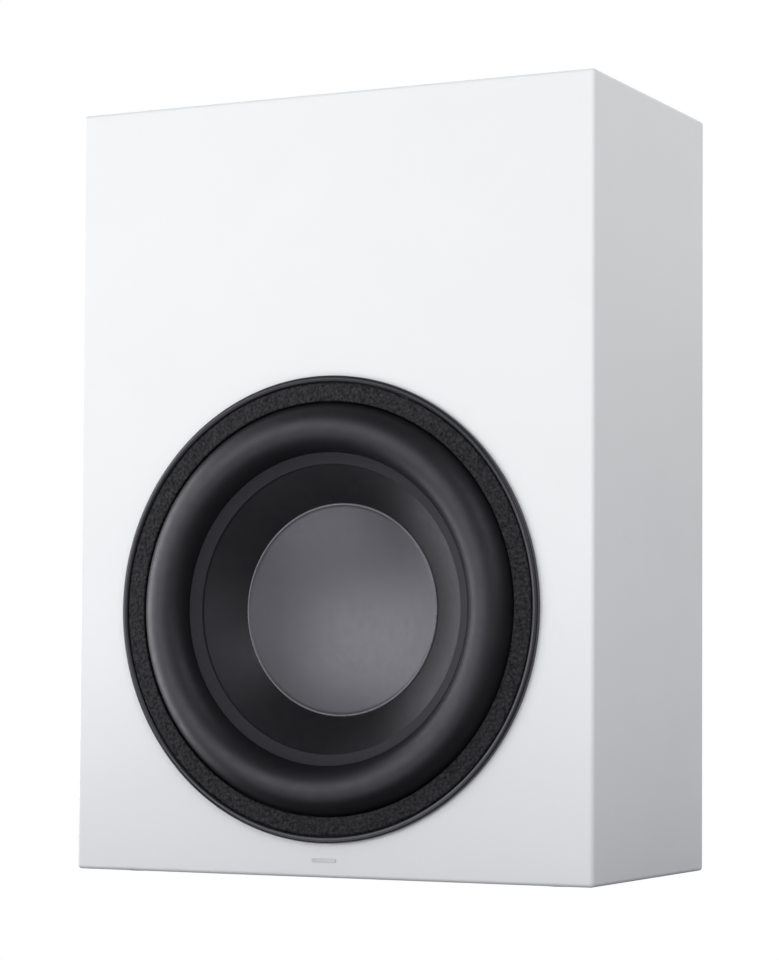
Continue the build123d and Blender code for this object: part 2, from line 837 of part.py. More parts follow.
with BuildPart() as tinsel_leads:
    for side in (-1, 1):
        add(
            wire(
                [
                    on_driver(side * lead_spread, tinsel_start, terminal_front),
                    on_driver(side * lead_spread, tinsel_start, terminal_front - 7),
                    on_driver(side * lead_spread, tinsel_start - 6, terminal_front - 12),
                    on_driver(side * lead_spread, tinsel_start - 17, terminal_front - 10),
                    on_driver(side * (lead_spread - 1), tinsel_start - 34, terminal_front + 3),
                    on_driver(side * (lead_spread - 3), tinsel_end_radius + 10, tinsel_end_depth + 12),
                    on_driver(side * (lead_spread - 4), tinsel_end_radius + 1, tinsel_end_depth + 8),
                    on_driver(side * (lead_spread - 4), tinsel_end_radius, tinsel_end_depth + 1),
                ],
                tinsel_radius,
            )
        )

# ------------------------------------------------------------------ amplifier: plate, seal and screws
with BuildPart() as amp_plate:
    with BuildSketch(rear):
        RectangleRounded(amp_width, amp_height, amp_corner)
    extrude(amount=-amp_thickness)
    for place in amp_screw_places:
        post(place, amp_screw_radius + slip, 0, amp_thickness, Mode.SUBTRACT)
    for place in knob_places:
        post(place, bush_radius + hair, 0, amp_thickness, Mode.SUBTRACT)
    for place in socket_places:
        post(place, socket_radius + 0.4, 0, amp_thickness, Mode.SUBTRACT)
    post(led_place, led_radius + 0.1, 0, amp_thickness, Mode.SUBTRACT)
    block(slider_place, slot_width, slider_height + 2 * slip, 0, amp_thickness, Mode.SUBTRACT)
    block(inlet_place, inlet_width + 0.4, inlet_height + 0.4, 0, amp_thickness, Mode.SUBTRACT)
    block(rocker_place, rocker_frame_width + 0.2, rocker_frame_height + 0.2, 0, amp_thickness, Mode.SUBTRACT)

with BuildPart() as amp_gasket:
    with BuildSketch(rear.offset(-amp_thickness)):
        RectangleRounded(amp_width, amp_height, amp_corner)
        RectangleRounded(amp_cutout_width, amp_cutout_height, amp_corner, mode=Mode.SUBTRACT)
    extrude(amount=-amp_gasket_thickness)
    for place in amp_screw_places:
        post(place, amp_screw_radius + slip, 0, amp_rebate, Mode.SUBTRACT)

with BuildPart() as amp_screws:
    for place in amp_screw_places:
        post(place, amp_screw_radius, 0, amp_screw_end)
        post(place, amp_screw_head, -2, 0)
        block(place, 1, 2 * amp_screw_head - 3, -2, -1, Mode.SUBTRACT)
        block(place, 2 * amp_screw_head - 3, 1, -2, -1, Mode.SUBTRACT)

with BuildPart() as heatsink:
    block(heatsink_place, heatsink_width, heatsink_height, -heatsink_base, 0)
    for number in range(fin_count):
        step = (heatsink_width - fin_thickness) / (fin_count - 1)
        fin_x = heatsink_place[0] - (heatsink_width - fin_thickness) / 2 + number * step
        block((fin_x, heatsink_place[1]), fin_thickness, heatsink_height, fin_tip, -heatsink_base)

# ------------------------------------------------------------------ amplifier: can, boards and their parts
with BuildPart() as amp_chassis:
    block((0, 0), chassis_width, chassis_height, amp_thickness, chassis_floor)
    block(
        (0, 0),
        chassis_width - 2 * chassis_wall,
        chassis_height - 2 * chassis_wall,
        amp_thickness,
        chassis_floor - chassis_wall,
        Mode.SUBTRACT,
    )
    post(toroid_place, toroid_bolt_radius + hair, amp_thickness, chassis_floor, Mode.SUBTRACT)
    block(lead_slot_place, lead_gap + 12, 6, lead_slot_depth - 6, lead_slot_depth + 7, Mode.SUBTRACT)

with BuildPart() as toroid_transformer:
    post(toroid_place, toroid_radius, toroid_front, toroid_front + toroid_thickness)
    post(toroid_place, toroid_bore, toroid_front, toroid_front + toroid_thickness, Mode.SUBTRACT)
    fillet(toroid_transformer.edges().filter_by(GeomType.CIRCLE), toroid_round)

with BuildPart() as transformer_bolt:
    post(toroid_place, toroid_bolt_radius, toroid_nut_front - 0.5, chassis_floor)
    post(toroid_place, toroid_radius / 2, toroid_washer_front, toroid_front)
    post(toroid_place, toroid_nut_radius, toroid_nut_front, toroid_washer_front)
    post(toroid_place, toroid_nut_radius, chassis_floor, chassis_floor + 3)

with BuildPart() as main_board:
    block(main_board_place, main_board_width, main_board_height, main_board_depth, main_board_back)

with BuildPart() as control_board:
    block(
        control_board_place,
        control_board_width,
        control_board_height,
        control_board_depth,
        control_board_depth + board_thickness,
    )

with BuildPart() as board_standoffs:
    for across in (-1, 1):
        for up in (-1, 1):
            main_x = main_board_place[0] + across * (main_board_width / 2 - 4)
            main_y = main_board_place[1] + up * (main_board_height / 2 - 4)
            post((main_x, main_y), standoff_radius, amp_thickness, main_board_depth)
    for control_x in (control_board_place[0] - 11, control_board_place[0] + 43):
        for up in (-1, 1):
            control_y = control_board_place[1] + up * (control_board_height / 2 - 4)
            post((control_x, control_y), standoff_radius, amp_thickness, control_board_depth)

capacitor_radius = 13.0
capacitor_height = 38.0
capacitor_pitch = 30.0
with BuildPart() as filter_capacitors:
    for across in (-1, 0):
        for up in (0, 1):
            capacitor = (heatsink_place[0] + 12 + across * capacitor_pitch, 4 + up * capacitor_pitch)
            post(capacitor, capacitor_radius, main_board_back, main_board_back + capacitor_height)
    fillet(filter_capacitors.faces().sort_by(Axis.Y)[:4].edges(), 1.5)

transistor_count = 4
transistor_pitch = 20.0
transistor_width = 16.0
transistor_height = 20.0
leg_pitch = 5.4
leg_width = 1.2
transistor_thickness = 5.0
transistor_back = amp_thickness + transistor_thickness
with BuildPart() as output_transistors:
    for number in range(transistor_count):
        transistor_x = heatsink_place[0] + (number - (transistor_count - 1) / 2) * transistor_pitch
        block((transistor_x, 0), transistor_width, transistor_height, amp_thickness, transistor_back)
        for leg in (-1, 0, 1):
            leg_place = (transistor_x + leg * leg_pitch, -transistor_height / 2 - 1)
            block(leg_place, leg_width, 2, transistor_back - 3, main_board_depth)

clamp_length = transistor_count * transistor_pitch - 6
clamp_height = 7.0
clamp_thickness = 2.0
with BuildPart() as transistor_clamp:
    clamp_back = transistor_back + clamp_thickness
    block((heatsink_place[0], 4), clamp_length, clamp_height, transistor_back, clamp_back)

# ------------------------------------------------------------------ amplifier: controls and sockets
with BuildPart() as pot_bodies:
    for place in knob_places:
        block(place, pot_width, pot_height, amp_thickness, control_board_depth)
        post(place, bush_radius, 0, amp_thickness)
        post(place, stem_radius + hair, 0, stem_end + 0.2, Mode.SUBTRACT)


def control_knob(place):
    """A fluted knob with a pointer groove, in one piece with the stem that turns in the pot's bush."""
    with BuildPart() as knob:
        post(place, knob_radius, -knob_proud, -knob_gap)
        for flute in range(flute_count):
            turn = radians(360 / flute_count * flute)
            rim = (place[0] + knob_radius * cos(turn), place[1] + knob_radius * sin(turn))
            post(rim, flute_radius, -knob_proud, -knob_skirt, Mode.SUBTRACT)
        pointer = (place[0], place[1] + knob_radius / 2 + 1)
        block(pointer, pointer_width, knob_radius - 2, -knob_proud, pointer_depth - knob_proud, Mode.SUBTRACT)
        post(place, stem_radius, -knob_gap, stem_end)
    return knob.part


with BuildPart() as gain_knob:
    add(control_knob(gain_place))

with BuildPart() as crossover_knob:
    add(control_knob(crossover_place))

with BuildPart() as phase_knob:
    add(control_knob(phase_place))

with BuildPart() as socket_shells:
    for place in socket_places:
        post(place, socket_radius, -socket_proud, 0)
        post(place, socket_rim_radius, -socket_rim, 0)
        post(place, socket_radius - socket_wall, -socket_proud, 0, Mode.SUBTRACT)

with BuildPart() as socket_insulators:
    for place in socket_places:
        post(place, socket_radius - socket_wall, insulator_front, control_board_depth)
        post(place, socket_bore_radius, insulator_front, control_board_depth - 3, Mode.SUBTRACT)

with BuildPart() as mode_switch_body:
    block(slider_place, slot_width + 4, slider_height + 5, amp_thickness, control_board_depth)
    block(slider_place, slot_width, slider_height + 2 * slip, amp_thickness, slider_end + slip, Mode.SUBTRACT)

with BuildPart() as mode_slider:
    block(slider_place, slider_width, slider_height, -slider_proud, slider_end)
    fillet(mode_slider.faces().sort_by(Axis.Y)[-1].edges(), 0.5)

with BuildPart() as status_lens:
    post(led_place, led_radius, -1, control_board_depth)
    fillet(status_lens.faces().sort_by(Axis.Y)[-1].edges(), 0.9 * led_radius)

# ------------------------------------------------------------------ amplifier: mains inlet, fuse and switch
pin_width = 2.0
pin_height = 4.0
pin_front = 6.0
pin_end = inlet_depth + 6
pin_places = []
for across, up in ((-7, -2), (0, 2), (7, -2)):
    pin_places.append((cavity_place[0] + across, cavity_place[1] + up))

with BuildPart() as mains_inlet:
    block(inlet_place, inlet_width, inlet_height, 0, inlet_depth)
    block(inlet_place, inlet_width + 2 * inlet_rim, inlet_height + 2 * inlet_rim, -inlet_flange, 0)
    fillet(mains_inlet.edges().filter_by(Axis.Y).group_by(Axis.Z)[0], 1.5)
    block(cavity_place, cavity_width, cavity_height, -inlet_flange, cavity_floor, Mode.SUBTRACT)
    block(
        drawer_place,
        drawer_width + 2 * slip,
        drawer_height + 2 * slip,
        -inlet_flange,
        drawer_depth + slip,
        Mode.SUBTRACT,
    )
    for place in pin_places:
        block(place, pin_width, pin_height, 0, inlet_depth, Mode.SUBTRACT)

with BuildPart() as inlet_pins:
    for place in pin_places:
        block(place, pin_width, pin_height, pin_front, pin_end)

fuse_end = drawer_depth - 0.5
with BuildPart() as fuse_drawer:
    block(drawer_place, drawer_width, drawer_height, -drawer_proud, drawer_depth)
    fillet(fuse_drawer.faces().sort_by(Axis.Y)[-1].edges(), 0.6)
    post(drawer_place, fuse_radius + hair, fuse_end - fuse_length, drawer_depth, Mode.SUBTRACT)
    block((drawer_place[0], drawer_place[1] + 2.6), 12, 1.2, -drawer_proud, 1 - drawer_proud, Mode.SUBTRACT)

with BuildPart() as mains_fuse:
    post(drawer_place, fuse_radius, fuse_end - fuse_length, fuse_end)

pivot = (-rocker_place[0], rear_y - rocker_pivot, amp_z + rocker_place[1])
rocker_side = Plane(pivot, x_dir=(0, 0, 1), z_dir=(1, 0, 0))
tilt = radians(rocker_throw)
rocker_section = Plane(pivot, x_dir=(0, sin(tilt), cos(tilt)), z_dir=(1, 0, 0))
rocker_face = rocker_pivot + rocker_proud
with BuildPart() as rocker_frame:
    block(rocker_place, rocker_frame_width, rocker_frame_height, 0, rocker_frame_depth)
    block(rocker_place, rocker_frame_width + 4, rocker_frame_height + 4, -rocker_bezel, 0)
    block(rocker_place, rocker_width + 2 * slip, rocker_pocket, -rocker_bezel, 12, Mode.SUBTRACT)
    with BuildSketch(rocker_side):
        Circle(trunnion_radius + hair)
    extrude(amount=rocker_width / 2 + trunnion_reach + hair, both=True, mode=Mode.SUBTRACT)
    for up in (-1, 1):
        tab_place = (rocker_place[0], rocker_place[1] + tab_offset * up)
        block(tab_place, 5, 0.8, rocker_frame_depth, rocker_tab)

with BuildPart() as mains_rocker:
    with BuildSketch(rocker_section):
        with BuildLine():
            Polyline(
                (-rocker_length / 2, -rocker_face),
                (0, 1.2 - rocker_face),
                (rocker_length / 2, -rocker_face),
                (rocker_length / 2, -1),
                (3, 4),
                (-3, 4),
                (-rocker_length / 2, -1),
                close=True,
            )
        make_face()
    extrude(amount=rocker_width / 2, both=True)
    with BuildSketch(rocker_section):
        Circle(trunnion_radius)
    extrude(amount=rocker_width / 2 + trunnion_reach, both=True)


# ------------------------------------------------------------------ wiring inside the cabinet
def on_plate(x, y, depth):
    """A point behind the rear face, from a place on the amplifier plate and a depth."""
    return (-x, rear_y - depth, amp_z + y)


speaker_x = -lead_slot_place[0]
speaker_rise = amp_z + lead_slot_place[1]
terminal_y = front_y + (terminal_front + terminal_back) / 2
with BuildPart() as internal_wiring:
    for side in (-1, 1):
        slot_x = speaker_x + side * lead_gap / 2
        end_x = side * lead_gap
        add(
            wire(
                [
                    (slot_x, rear_y - main_board_back, speaker_rise + 18),
                    (slot_x, rear_y - main_board_back - 14, speaker_rise + 18),
                    (slot_x, rear_y - lead_slot_depth, speaker_rise + 4),
                    (slot_x, rear_y - lead_slot_depth - 4, speaker_rise - 14),
                    (0.7 * slot_x + 0.3 * end_x, rear_y - lead_slot_depth - 22, terminal_top_z + lead_arch),
                    (0.4 * slot_x + 0.6 * end_x, terminal_y + 40, terminal_top_z + 0.8 * lead_arch),
                    (0.1 * slot_x + 0.9 * end_x, terminal_y + 14, terminal_top_z + 0.85 * lead_arch),
                    (end_x, terminal_y, terminal_top_z + 0.6 * lead_arch),
                    (end_x, terminal_y, terminal_top_z),
                ],
                lead_radius,
            )
        )

    for up, start, reach in ((-1, pin_places[0], 14), (1, pin_places[2], 4)):
        end_y = rocker_place[1] + tab_offset * up
        add(
            wire(
                [
                    on_plate(start[0], start[1], pin_end),
                    on_plate(start[0], start[1], pin_end + reach),
                    on_plate(start[0] + 10, start[1] - 3, pin_end + reach + 8),
                    on_plate(rocker_place[0] - 10, end_y, pin_end + reach + 6),
                    on_plate(rocker_place[0], end_y, pin_end + reach - 4),
                    on_plate(rocker_place[0], end_y, rocker_tab),
                ],
                lead_radius,
            )
        )

# ------------------------------------------------------------------ export
pieces = {
    "front_baffle": front_baffle,
    "rear_panel": rear_panel,
    "left_panel": left_panel,
    "right_panel": right_panel,
    "top_panel": top_panel,
    "bottom_panel": bottom_panel,
    "foot_pads": foot_pads,
    "badge": badge,
    "shelf_brace": shelf_brace,
    "damping_felt": damping_felt,
    "polyester_wadding": polyester_wadding,
    "basket": basket,
    "trim_ring": trim_ring,
    "foam_ring": foam_ring,
    "driver_gasket": driver_gasket,
    "driver_screws": driver_screws,
    "flanged_inserts": flanged_inserts,
    "top_plate": top_plate,
    "magnets": magnets,
    "pole_yoke": pole_yoke,
    "shorting_ring": shorting_ring,
    "magnet_boot": magnet_boot,
    "motor_screws": motor_screws,
    "terminal_block": terminal_block,
    "surround": surround,
    "cone": cone,
    "dust_cap": dust_cap,
    "voice_coil_former": voice_coil_former,
    "voice_coil": voice_coil,
    "spider": spider,
    "tinsel_leads": tinsel_leads,
    "amp_plate": amp_plate,
    "amp_gasket": amp_gasket,
    "amp_screws": amp_screws,
    "heatsink": heatsink,
    "amp_chassis": amp_chassis,
    "toroid_transformer": toroid_transformer,
    "transformer_bolt": transformer_bolt,
    "main_board": main_board,
    "control_board": control_board,
    "board_standoffs": board_standoffs,
    "filter_capacitors": filter_capacitors,
    "output_transistors": output_transistors,
    "transistor_clamp": transistor_clamp,
    "pot_bodies": pot_bodies,
    "gain_knob": gain_knob,
    "crossover_knob": crossover_knob,
    "phase_knob": phase_knob,
    "socket_shells": socket_shells,
    "socket_insulators": socket_insulators,
    "mode_switch_body": mode_switch_body,
    "mode_slider": mode_slider,
    "status_lens": status_lens,
    "mains_inlet": mains_inlet,
    "inlet_pins": inlet_pins,
    "fuse_drawer": fuse_drawer,
    "mains_fuse": mains_fuse,
    "rocker_frame": rocker_frame,
    "mains_rocker": mains_rocker,
    "internal_wiring": internal_wiring,
}
os.makedirs("parts", exist_ok=True)
for name, piece in pieces.items():
    piece.part.label = name
    export_step(piece.part, f"parts/{name}.step")
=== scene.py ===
"""Looks of the powered subwoofer: finer turned parts for the driver, finishes for all, and the studio."""

import math

import bmesh
import bpy
import numpy as np
from mathutils import Matrix, Vector, noise


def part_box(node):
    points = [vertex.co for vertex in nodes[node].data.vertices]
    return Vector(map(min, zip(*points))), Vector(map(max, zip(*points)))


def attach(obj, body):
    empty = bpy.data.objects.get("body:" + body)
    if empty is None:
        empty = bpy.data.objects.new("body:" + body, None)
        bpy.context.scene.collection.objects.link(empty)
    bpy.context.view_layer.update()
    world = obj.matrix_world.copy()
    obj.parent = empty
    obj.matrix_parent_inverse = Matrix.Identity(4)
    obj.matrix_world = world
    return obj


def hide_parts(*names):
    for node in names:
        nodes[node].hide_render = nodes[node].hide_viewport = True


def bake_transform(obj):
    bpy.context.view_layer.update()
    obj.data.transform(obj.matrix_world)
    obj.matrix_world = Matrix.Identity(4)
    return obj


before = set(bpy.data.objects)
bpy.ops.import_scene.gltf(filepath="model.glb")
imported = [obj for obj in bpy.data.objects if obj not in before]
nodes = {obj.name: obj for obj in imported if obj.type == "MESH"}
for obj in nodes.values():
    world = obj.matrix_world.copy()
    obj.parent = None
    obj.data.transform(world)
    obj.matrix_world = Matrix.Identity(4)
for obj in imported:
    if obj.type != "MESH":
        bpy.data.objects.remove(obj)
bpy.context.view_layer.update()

MM = 0.001

# ------------------------------------------------------------------ places read from the frame
trim_low, trim_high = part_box("trim_ring")
foam_low, foam_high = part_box("foam_ring")
cone_low, cone_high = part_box("cone")
cap_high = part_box("dust_cap")[1]
surround_low, surround_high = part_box("surround")
spider_low, spider_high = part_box("spider")
baffle_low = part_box("front_baffle")[0]

front_y = baffle_low.y
axis_z = (trim_low.z + trim_high.z) / 2
trim_radius = trim_high.x
foam_radius = foam_high.x
cone_radius = cone_high.x
cap_radius = cap_high.x
former_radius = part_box("voice_coil_former")[1].x

# Sizes of the driver's sections, in metres
TRIM_WIDTH = 4.4 * MM
TRIM_ROUND = 1.7 * MM
TRIM_CROWN = 0.1 * MM
FOAM_WIDTH = 12.2 * MM
FOAM_EDGE = 0.9 * MM
FOAM_GRAIN = 0.3 * MM
RUBBER = 1.4 * MM
ROLL_WIDTH = 33.4 * MM
SEAT_DEPTH = 1.6 * MM
CONE_LIP = 7.8 * MM
LIP_ROUND = 0.9 * MM
CREASE = 0.8 * MM
CONE_WALL = 1.2 * MM
CONE_ANGLE = math.radians(33.6)
CAP_BEAD = 0.75 * MM
CAP_WALL = 0.8 * MM
ROUND_STEPS = 288

foam_inner = foam_radius - FOAM_WIDTH
roll_outer = foam_inner
roll_inner = roll_outer - ROLL_WIDTH
cone_rim = cone_low.y - front_y
cone_back = CONE_WALL / math.cos(CONE_ANGLE)
cone_slope = (cone_high.y - cone_low.y - cone_back) / (cone_radius - former_radius)


def cone_face(radius):
    """Depth of the cone's front face at a radius."""
    return cone_rim + (cone_radius - radius) * cone_slope


# ------------------------------------------------------------------ outlines and meshes
def arc(start, middle, end, count):
    """Points on the circle through three points, from start to end, without the start."""
    (ax, ay), (bx, by), (cx, cy) = start, middle, end
    twice = 2 * (ax * (by - cy) + bx * (cy - ay) + cx * (ay - by))
    a2, b2, c2 = ax * ax + ay * ay, bx * bx + by * by, cx * cx + cy * cy
    ux = (a2 * (by - cy) + b2 * (cy - ay) + c2 * (ay - by)) / twice
    uy = (a2 * (cx - bx) + b2 * (ax - cx) + c2 * (bx - ax)) / twice
    radius = math.hypot(ax - ux, ay - uy)
    first, through, last = (math.atan2(y - uy, x - ux) for x, y in (start, middle, end))
    sweep = (last - first) % math.tau
    if (through - first) % math.tau > sweep:
        sweep -= math.tau
    angles = (first + sweep * step / count for step in range(1, count + 1))
    return [(ux + radius * math.cos(a), uy + radius * math.sin(a)) for a in angles]


def rounded(points, radius, count=5):
    """A closed outline with every corner cut by an arc of about this radius."""
    outline = []
    for index, corner in enumerate(points):
        here = Vector(corner)
        back = Vector(points[index - 1]) - here
        ahead = Vector(points[(index + 1) % len(points)]) - here
        cut = min(radius, back.length * 0.45, ahead.length * 0.45)
        start, end = here + back.normalized() * cut, here + ahead.normalized() * cut
        for step in range(count + 1):
            t = step / count
            outline.append(tuple(start * (1 - t) ** 2 + here * 2 * t * (1 - t) + end * t * t))
    return outline


def new_piece(name, mesh, body=None, replaces=()):
    """A shown piece from a mesh, with a body to ride on and the CAD nodes that it stands for."""
    piece = bpy.data.objects.new(name, mesh)
    bpy.context.scene.collection.objects.link(piece)
    if body:
        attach(piece, body)
    if replaces:
        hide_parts(*replaces)
    return piece


def smooth(mesh, sharp_angle=40):
    """Smooth shading with edges kept sharp where faces meet at more than an angle."""
    mesh.shade_smooth()
    mesh.set_sharp_from_angle(angle=math.radians(sharp_angle))


def turned(name, outline, steps=ROUND_STEPS):
    """A mesh turned about the driver's axis from a closed outline of (radius, depth) points."""
    form = bmesh.new()
    rings = []
    for step in range(steps):
        turn = math.tau * step / steps
        ring = [
            form.verts.new((r * math.sin(turn), front_y + depth, axis_z + r * math.cos(turn)))
            for r, depth in outline
        ]
        rings.append(ring)
    count = len(outline)
    for step in range(steps):
        here, ahead = rings[step], rings[(step + 1) % steps]
        for index in range(count):
            following = (index + 1) % count
            form.faces.new((here[index], here[following], ahead[following], ahead[index]))
    bmesh.ops.remove_doubles(form, verts=form.verts, dist=1e-6)
    bmesh.ops.dissolve_degenerate(form, edges=form.edges, dist=1e-7)
    bmesh.ops.recalc_face_normals(form, faces=form.faces)
    mesh = bpy.data.meshes.new(name)
    form.to_mesh(mesh)
    form.free()
    smooth(mesh)
    return mesh


def bend_with_cone(piece):
    """Bakes the piece's placement into its mesh.
    """
    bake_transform(piece)


# ------------------------------------------------------------------ finishes
class Finish:
    """A procedural material: one principled shader, with grain, mottling and roughness variation added to
    it.
    """

    def __init__(self, name, color, roughness, metallic=0.0, specular=0.5, coat=0.0, coat_roughness=0.1,
                 sheen=(1, 1, 1)):
        self.material = bpy.data.materials.new(name)
        self.material.use_nodes = True
        self.tree = self.material.node_tree
        self.shader = self.tree.nodes["Principled BSDF"]
        self.color = color
        self.roughness = roughness
        self.set("Base Color", (*color, 1))
        self.set("Roughness", roughness)
        self.set("Metallic", metallic)
        self.set("Specular IOR Level", specular)
        self.set("Coat Weight", coat)
        self.set("Coat Roughness", coat_roughness)
        self.set("Specular Tint", (*sheen, 1))
        self.place = self.node("ShaderNodeTexCoord").outputs["Object"]
        self.normal = None

    def set(self, socket, value):
        self.shader.inputs[socket].default_value = value
        return self

    def node(self, kind, **values):
        node = self.tree.nodes.new(kind)
        for name, value in values.items():
            if name in node.inputs:
                node.inputs[name].default_value = value
            else:
                setattr(node, name, value)
        return node

    def link(self, output, target):
        self.tree.links.new(output, target)

    def stretched(self, scale):
        """The object's coordinates, stretched along an axis."""
        mapping = self.node("ShaderNodeMapping")
        mapping.inputs["Scale"].default_value = scale
        self.link(self.place, mapping.inputs["Vector"])
        return mapping.outputs["Vector"]

    def noise(self, size, detail=3.0, stretch=None):
        """Noise whose features are about a size across, in metres."""
        node = self.node("ShaderNodeTexNoise", Scale=1 / size, Detail=detail)
        self.link(self.stretched(stretch) if stretch else self.place, node.inputs["Vector"])
        return node.outputs["Fac"]

    def cells(self, size, feature="F1"):
        node = self.node("ShaderNodeTexVoronoi", Scale=1 / size)
        node.feature = feature
        self.link(self.place, node.inputs["Vector"])
        return node.outputs["Distance"]

    def bump(self, height, distance, strength=1.0):
        """Adds a height of up to a distance, in metres, over what was added before."""
        node = self.node("ShaderNodeBump", Strength=strength, Distance=distance)
        self.link(height, node.inputs["Height"])
        if self.normal:
            self.link(self.normal, node.inputs["Normal"])
        self.normal = node.outputs["Normal"]
        self.link(self.normal, self.shader.inputs["Normal"])
        return self

    def spread(self, factor, low, high):
        """A value that runs from low to high over the middle of a noise."""
        node = self.node("ShaderNodeMapRange")
        for name, value in (("From Min", 0.3), ("From Max", 0.7), ("To Min", low), ("To Max", high)):
            node.inputs[name].default_value = value
        self.link(factor, node.inputs["Value"])
        return node.outputs["Result"]

    def rough(self, factor, low, high):
        self.link(self.spread(factor, low, high), self.shader.inputs["Roughness"])
        return self

    def mottle(self, factor, other):
        """Mixes the base colour with another one."""
        mix = self.node("ShaderNodeMix", data_type="RGBA")
        mix.inputs[6].default_value = (*self.color, 1)
        mix.inputs[7].default_value = (*other, 1)
        self.link(self.spread(factor, 0, 1), mix.inputs["Factor"])
        self.link(mix.outputs[2], self.shader.inputs["Base Color"])
        return self


def grey(value, cool=0.1):
    """A grey, a little cool unless told otherwise."""
    return (value, value * (1 - cool / 3), value * (1 + cool))


def dress(names, finish):
    """Gives CAD nodes or pieces a finish."""
    for name in names.split():
        mesh = bpy.data.objects[name].data
        mesh.materials.clear()
        mesh.materials.append(finish.material)


# The driver's black pieces reflect a little more blue than green
COOL_SHEEN = (0.91, 0.89, 1.0)


def lacquer():
    finish = Finish("white_satin_lacquer", (0.815, 0.823, 0.83), 0.42, coat=0.25, coat_roughness=0.3)
    finish.mottle(finish.noise(0.09, 2), (0.805, 0.813, 0.82))
    finish.rough(finish.noise(0.02, 4), 0.38, 0.46)
    return finish.bump(finish.noise(1.6 * MM, 2), 0.012 * MM)


def satin_black():
    finish = Finish("satin_black_trim", grey(0.016), 0.24, specular=0.75, sheen=COOL_SHEEN)
    finish.rough(finish.noise(0.012, 4), 0.2, 0.28)
    return finish.bump(finish.noise(3 * MM), 0.01 * MM)


def foam():
    finish = Finish("grainy_foam_rubber", grey(0.001), 0.6, specular=0.28, sheen=COOL_SHEEN)
    finish.mottle(finish.noise(2.1 * MM, 3), grey(0.034, 0.04))
    finish.bump(finish.noise(2.2 * MM, 4), 0.9 * MM)
    return finish.bump(finish.cells(1.2 * MM), 0.2 * MM)


def rubber():
    finish = Finish("satin_surround_rubber", grey(0.004), 0.48, specular=0.9, sheen=COOL_SHEEN)
    finish.mottle(finish.noise(0.03, 3), grey(0.006))
    finish.rough(finish.noise(6 * MM, 4), 0.44, 0.52)
    return finish.bump(finish.noise(0.35 * MM, 3), 0.012 * MM)


def lip_rubber():
    finish = Finish("matt_lip_rubber", grey(0.022), 0.62, specular=0.45, sheen=COOL_SHEEN)
    finish.mottle(finish.noise(2 * MM, 3), grey(0.026))
    return finish.bump(finish.noise(0.4 * MM, 3), 0.02 * MM)


def cone_finish():
    finish = Finish("satin_coated_cone", grey(0.005), 0.4, specular=0.8, sheen=COOL_SHEEN)
    finish.rough(finish.noise(5 * MM, 4), 0.37, 0.44)
    finish.mottle(finish.noise(0.02, 3), grey(0.007))
    return finish.bump(finish.noise(0.3 * MM, 3), 0.01 * MM)


def cap_finish():
    finish = Finish("satin_grey_cap", grey(0.05), 0.36, specular=0.72, sheen=COOL_SHEEN)
    finish.set("IOR", 1.8).mottle(finish.noise(0.015, 3), grey(0.056))
    finish.rough(finish.noise(4 * MM, 4), 0.34, 0.4)
    return finish.bump(finish.noise(0.3 * MM, 3), 0.01 * MM)


def moulded(name, color, roughness=0.5, texture=0.03):
    """Injection-moulded plastic with a fine spark-eroded texture."""
    finish = Finish(name, color, roughness)
    finish.rough(finish.noise(3 * MM, 3), roughness - 0.05, roughness + 0.08)
    finish.mottle(finish.noise(8 * MM, 3), tuple(0.86 * c for c in color))
    return finish.bump(finish.noise(0.3 * MM, 2), texture * MM)


def anodised(name, color):
    """Bead-blasted, anodised aluminium."""
    finish = Finish(name, color, 0.5, metallic=0.75)
    finish.rough(finish.noise(2 * MM, 4), 0.44, 0.58)
    finish.mottle(finish.noise(0.03, 3), tuple(1.25 * c for c in color))
    return finish.bump(finish.noise(0.22 * MM, 2), 0.02 * MM)


def metal(name, color, roughness=0.3, stretch=(1, 1, 1)):
    """Bare or plated metal, with fine marks along a direction."""
    finish = Finish(name, color, roughness, metallic=1.0)
    finish.rough(finish.noise(4 * MM, 4), roughness - 0.07, roughness + 0.1)
    finish.mottle(finish.noise(0.012, 3), tuple(0.85 * c for c in color))
    return finish.bump(finish.noise(0.5 * MM, 3, stretch), 0.01 * MM)


def fibrous(name, color, size=1.2 * MM, depth=0.4 * MM):
    """Felt or fleece."""
    finish = Finish(name, color, 0.95, specular=0.1)
    finish.set("Sheen Weight", 0.35)
    finish.set("Sheen Roughness", 0.5)
    finish.mottle(finish.noise(6 * MM, 4), tuple(0.8 * c for c in color))
    finish.bump(finish.noise(size, 5), depth)
    return finish.bump(finish.noise(0.4 * MM, 4, (1, 1, 0.2)), 0.1 * MM)


# ------------------------------------------------------------------ cabinet
WHITE_PANELS = "front_baffle rear_panel left_panel right_panel top_panel bottom_panel"
dress(WHITE_PANELS, lacquer())
dress("foot_pads", moulded("moulded_pad_rubber", grey(0.02), 0.75, 0.08))
dress("badge", metal("brushed_blank_badge", (0.62, 0.63, 0.65), 0.4, (0.05, 1, 1)))
board = Finish("raw_fibreboard", (0.42, 0.29, 0.17), 0.85, specular=0.2)
board.mottle(board.noise(1.5 * MM, 5, (1, 1, 4)), (0.33, 0.22, 0.12))
board.bump(board.noise(0.8 * MM, 4), 0.06 * MM)
dress("shelf_brace", board)


